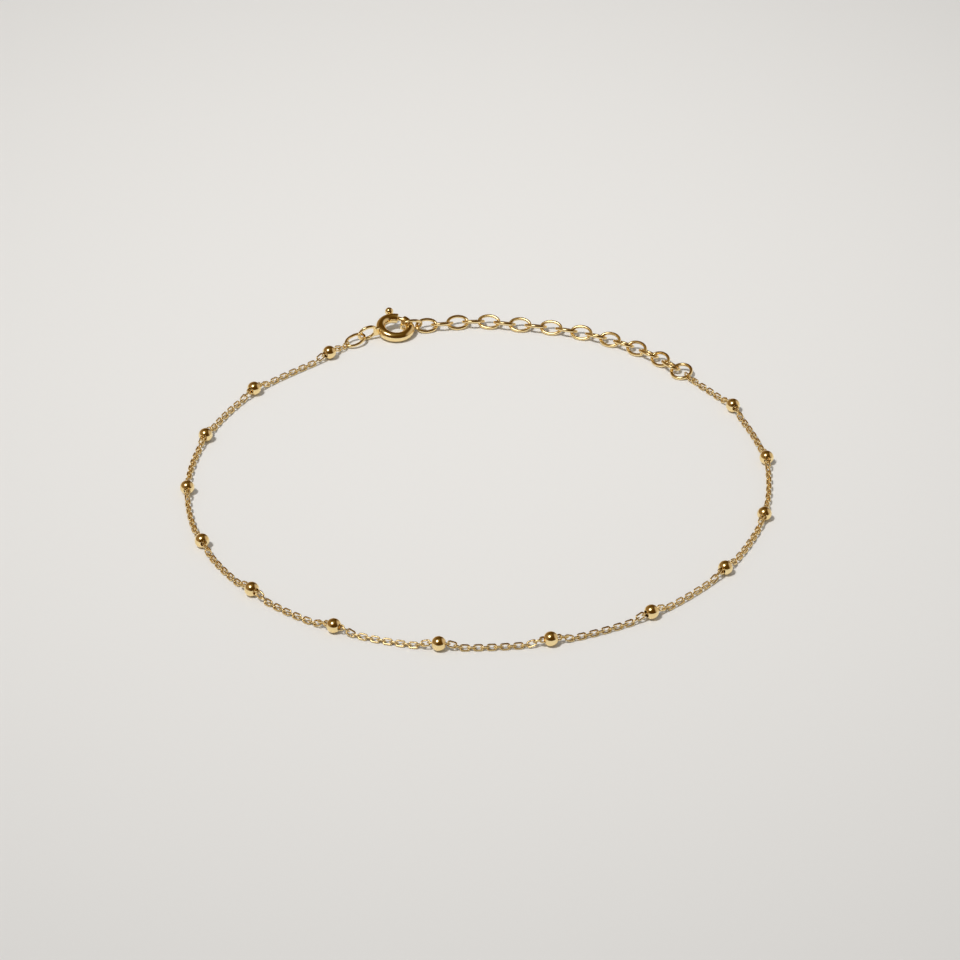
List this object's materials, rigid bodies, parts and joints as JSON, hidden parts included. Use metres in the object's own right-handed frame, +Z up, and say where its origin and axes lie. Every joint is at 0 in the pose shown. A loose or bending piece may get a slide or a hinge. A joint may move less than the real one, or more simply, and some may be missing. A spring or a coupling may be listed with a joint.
{
  "type": "chain anklet",
  "caption": "Fine cable chain anklet with evenly spaced round beads, closed by a spring ring clasp that hooks into an extender chain of oval links.",
  "frame": {"origin": "on the surface that the anklet lies on, under the middle of its bounding box", "axes": "+Z up off the surface, +Y from the front of the loop to its back, where the clasp and extender are, +X from the clasp's side to the extender's end"},
  "size_m": [0.0785, 0.0865, 0.0026],
  "materials": {
    "polished_gold": "high polish yellow gold",
    "wire_gold": "polished yellow gold wire",
    "fine_gold": "yellow gold, small flat cuts"
  },
  "bodies": {
    "anklet": {"clasp_ring": "polished_gold", "jump_ring": "wire_gold", "extender_link_01": "wire_gold", "extender_link_02": "wire_gold", "extender_link_03": "wire_gold", "extender_link_04": "wire_gold", "extender_link_05": "wire_gold", "extender_link_06": "wire_gold", "extender_link_07": "wire_gold", "extender_link_08": "wire_gold", "extender_link_09": "wire_gold", "extender_link_10": "wire_gold", "extender_link_11": "wire_gold", "extender_link_12": "wire_gold", "extender_link_13": "wire_gold", "extender_link_14": "wire_gold", "extender_link_15": "wire_gold", "extender_link_16": "wire_gold", "extender_link_17": "wire_gold", "extender_link_18": "wire_gold", "extender_link_19": "wire_gold", "extender_ring": "wire_gold", "bead_01": "polished_gold", "bead_02": "polished_gold", "bead_03": "polished_gold", "bead_04": "polished_gold", "bead_05": "polished_gold", "bead_06": "polished_gold", "bead_07": "polished_gold", "bead_08": "polished_gold", "bead_09": "polished_gold", "bead_10": "polished_gold", "bead_11": "polished_gold", "bead_12": "polished_gold", "bead_13": "polished_gold", "bead_14": "polished_gold", "fine_chain": "fine_gold"},
    "bolt": {"clasp_bolt": "polished_gold"}
  },
  "joints": [
    {"name": "bolt_slide", "type": "hinge", "parent": "anklet", "child": "bolt", "pos_m": [-0.01154, 0.03923, 0.00119], "axis": [0.0958, -0.207, 0.9736], "range_deg": [0, 34], "stiffness_Nm_per_rad": 0.002}
  ]
}
